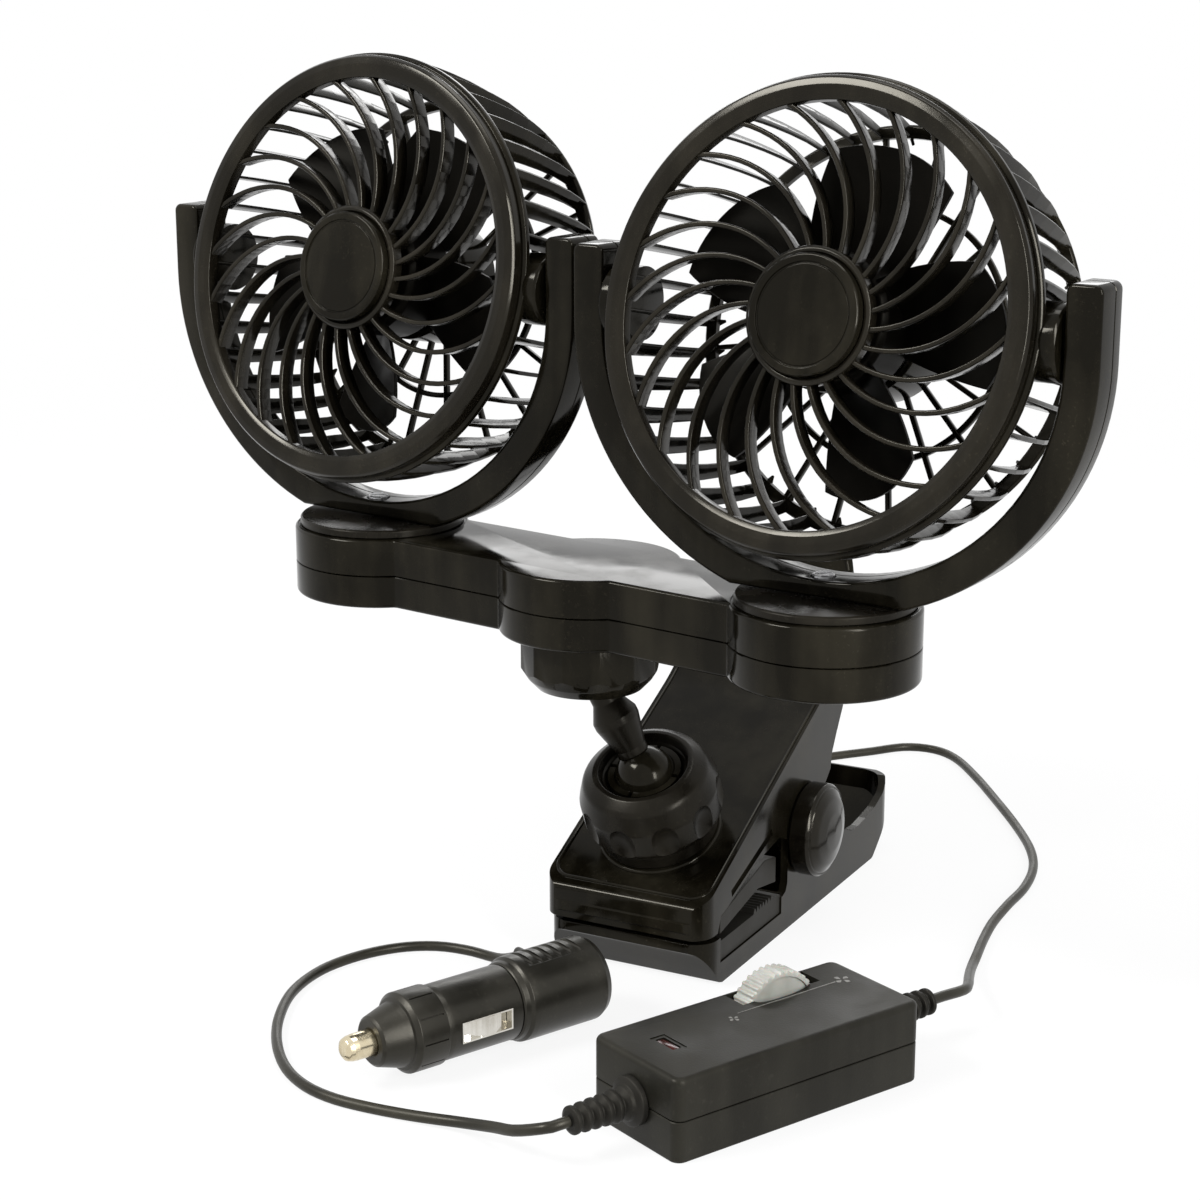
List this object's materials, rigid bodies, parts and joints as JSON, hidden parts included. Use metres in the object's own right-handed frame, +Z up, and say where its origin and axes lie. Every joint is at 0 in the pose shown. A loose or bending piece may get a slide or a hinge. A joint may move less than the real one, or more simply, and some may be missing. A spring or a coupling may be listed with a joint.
{
  "type": "dual head car fan",
  "caption": "Clip-on car fan: tilting caged heads in swivelling yokes on a bar, ball-jointed above a spring clamp, with an in-line speed control and a vehicle plug on its cord.",
  "frame": {"origin": "centre of the lower jaw's flat base, on the surface it stands on", "axes": "+Z up, -Y towards the front of the fans and the mouth of the clamp, +X to the right-hand head seen from behind the handle"},
  "size_m": [0.3084, 0.3546, 0.2609],
  "materials": {
    "gloss_black": "polished injection-moulded plastic",
    "satin_black": "fine satin moulded plastic",
    "rubber_black": "soft matt rubber",
    "cord_sheath": "soft vinyl sheath, slight sheen",
    "steel": "plain bright steel",
    "nickel": "nickel-plated spring strip",
    "brass": "turned, lightly plated brass",
    "milky_plastic": "translucent white moulded plastic",
    "fuse_glass": "clear glass tube",
    "circuit_board": "green lacquered board",
    "indicator_red": "dark red lens"
  },
  "bodies": {
    "base": {"lower_jaw": "gloss_black", "lower_pad": "rubber_black", "pivot_pin": "steel", "pivot_cap_left": "gloss_black", "pivot_cap_right": "gloss_black", "torsion_spring": "steel", "lead_grommet": "rubber_black", "control_top_cover": "satin_black", "control_bottom_cover": "satin_black", "circuit_board": "circuit_board", "indicator_window": "indicator_red", "control_relief_fan_side": "rubber_black", "control_relief_plug_side": "rubber_black", "plug_barrel": "satin_black", "plug_grip": "satin_black", "plug_relief": "rubber_black", "tip_spring": "steel", "fan_cord": "cord_sheath", "plug_cord": "cord_sheath"},
    "upper_jaw": {"upper_jaw": "gloss_black", "upper_pad": "rubber_black"},
    "lower_ball": {"lower_ball": "gloss_black"},
    "stem": {"stem": "gloss_black"},
    "upper_ball": {"upper_ball": "gloss_black"},
    "bar": {"bar_top_cover": "gloss_black", "bar_bottom_cover": "gloss_black"},
    "lower_nut": {"lower_lock_nut": "gloss_black"},
    "upper_nut": {"upper_lock_nut": "gloss_black"},
    "speed_wheel": {"thumbwheel": "milky_plastic"},
    "fuse_cap": {"fuse_cap": "satin_black"},
    "tip": {"tip_contact": "brass", "fuse": "fuse_glass"},
    "contact_left": {"side_contact_left": "nickel"},
    "contact_right": {"side_contact_right": "nickel"},
    "left_yoke": {"left_yoke_front": "gloss_black", "left_yoke_rear": "gloss_black", "left_turntable": "gloss_black", "left_yoke_screw": "steel"},
    "left_head": {"left_front_grille": "gloss_black", "left_hub_cap": "satin_black", "left_rear_cage": "gloss_black", "left_motor": "steel", "left_tilt_pin_inner": "steel", "left_tilt_pin_outer": "steel"},
    "left_rotor": {"left_impeller": "satin_black", "left_motor_shaft": "steel"},
    "right_yoke": {"right_yoke_front": "gloss_black", "right_yoke_rear": "gloss_black", "right_turntable": "gloss_black", "right_yoke_screw": "steel"},
    "right_head": {"right_front_grille": "gloss_black", "right_hub_cap": "satin_black", "right_rear_cage": "gloss_black", "right_motor": "steel", "right_tilt_pin_inner": "steel", "right_tilt_pin_outer": "steel"},
    "right_rotor": {"right_impeller": "satin_black", "right_motor_shaft": "steel"}
  },
  "joints": [
    {"name": "clamp_open", "type": "hinge", "parent": "base", "child": "upper_jaw", "pos_m": [0, 0.004, 0.029], "axis": [-1, 0, 0], "range_deg": [0, 20], "stiffness_Nm_per_rad": 1.2, "springref_deg": -34.38, "deforming": ["torsion_spring"]},
    {"name": "lower_ball_pitch", "type": "hinge", "parent": "upper_jaw", "child": "lower_ball", "pos_m": [0, -0.05216, 0.0582], "axis": [1, 0, 0], "range_deg": [-15, 20]},
    {"name": "lower_ball_roll", "type": "hinge", "parent": "lower_ball", "child": "stem", "pos_m": [0, -0.05216, 0.0582], "axis": [0, 1, 0], "range_deg": [-6, 40]},
    {"name": "upper_ball_tilt", "type": "hinge", "parent": "stem", "child": "upper_ball", "pos_m": [-0.0142, -0.05966, 0.09073], "axis": [1, 0, 0], "range_deg": [-15, 15]},
    {"name": "bar_swivel", "type": "hinge", "parent": "upper_ball", "child": "bar", "pos_m": [-0.0142, -0.05966, 0.09073], "axis": [0, 0, 1], "range_deg": [-40, 50]},
    {"name": "lower_nut_turn", "type": "hinge", "parent": "upper_jaw", "child": "lower_nut", "pos_m": [0, -0.05216, 0.0582], "axis": [0, -0.4462, 0.8949], "range_deg": [0, 60]},
    {"name": "upper_nut_turn", "type": "hinge", "parent": "bar", "child": "upper_nut", "pos_m": [-0.0142, -0.05966, 0.09073], "axis": [0, 0, -1], "range_deg": [0, 60]},
    {"name": "left_pan", "type": "hinge", "parent": "bar", "child": "left_yoke", "pos_m": [-0.09191, -0.0466, 0.12293], "axis": [0, 0, 1], "range_deg": [-166.09, 163.91]},
    {"name": "left_tilt", "type": "hinge", "parent": "left_yoke", "child": "left_head", "pos_m": [-0.09191, -0.0466, 0.19783], "axis": [-0.9891, 0.1469, 0], "range_deg": [-101.89, 78.11]},
    {"name": "left_fan_spin", "type": "hinge", "parent": "left_head", "child": "left_rotor", "pos_m": [-0.09191, -0.0466, 0.19783], "axis": [-0.1438, -0.9679, 0.206], "continuous": true},
    {"name": "right_pan", "type": "hinge", "parent": "bar", "child": "right_yoke", "pos_m": [0.06351, -0.07272, 0.12293], "axis": [0, 0, 1], "range_deg": [-168.9, 161.1]},
    {"name": "right_tilt", "type": "hinge", "parent": "right_yoke", "child": "right_head", "pos_m": [0.06351, -0.07272, 0.19783], "axis": [-0.9952, 0.0983, 0], "range_deg": [-103.55, 76.45]},
    {"name": "right_fan_spin", "type": "hinge", "parent": "right_head", "child": "right_rotor", "pos_m": [0.06351, -0.07272, 0.19783], "axis": [-0.0955, -0.9675, 0.2343], "continuous": true},
    {"name": "speed_wheel_turn", "type": "hinge", "parent": "base", "child": "speed_wheel", "pos_m": [0.06224, -0.09977, 0.0156], "axis": [0.903, -0.4296, 0], "range_deg": [0, 270]},
    {"name": "fuse_cap_unscrew", "type": "hinge", "parent": "base", "child": "fuse_cap", "pos_m": [-0.0307, -0.1669, 0.012], "axis": [-0.4147, -0.91, 0], "range_deg": [0, 330]},
    {"name": "tip_press", "type": "slide", "parent": "fuse_cap", "child": "tip", "axis": [0.4147, 0.91, 0], "range_m": [0, 0.003], "stiffness_N_per_m": 1000, "springref_m": -0.001, "deforming": ["tip_spring"]},
    {"name": "contact_right_press", "type": "slide", "parent": "base", "child": "contact_right", "axis": [-0.91, 0.4147, 0], "range_m": [0, 0.001], "stiffness_N_per_m": 2000, "springref_m": -0.0005},
    {"name": "contact_left_press", "type": "slide", "parent": "base", "child": "contact_left", "axis": [0.91, -0.4147, 0], "range_m": [0, 0.001], "stiffness_N_per_m": 2000, "springref_m": -0.0005}
  ]
}
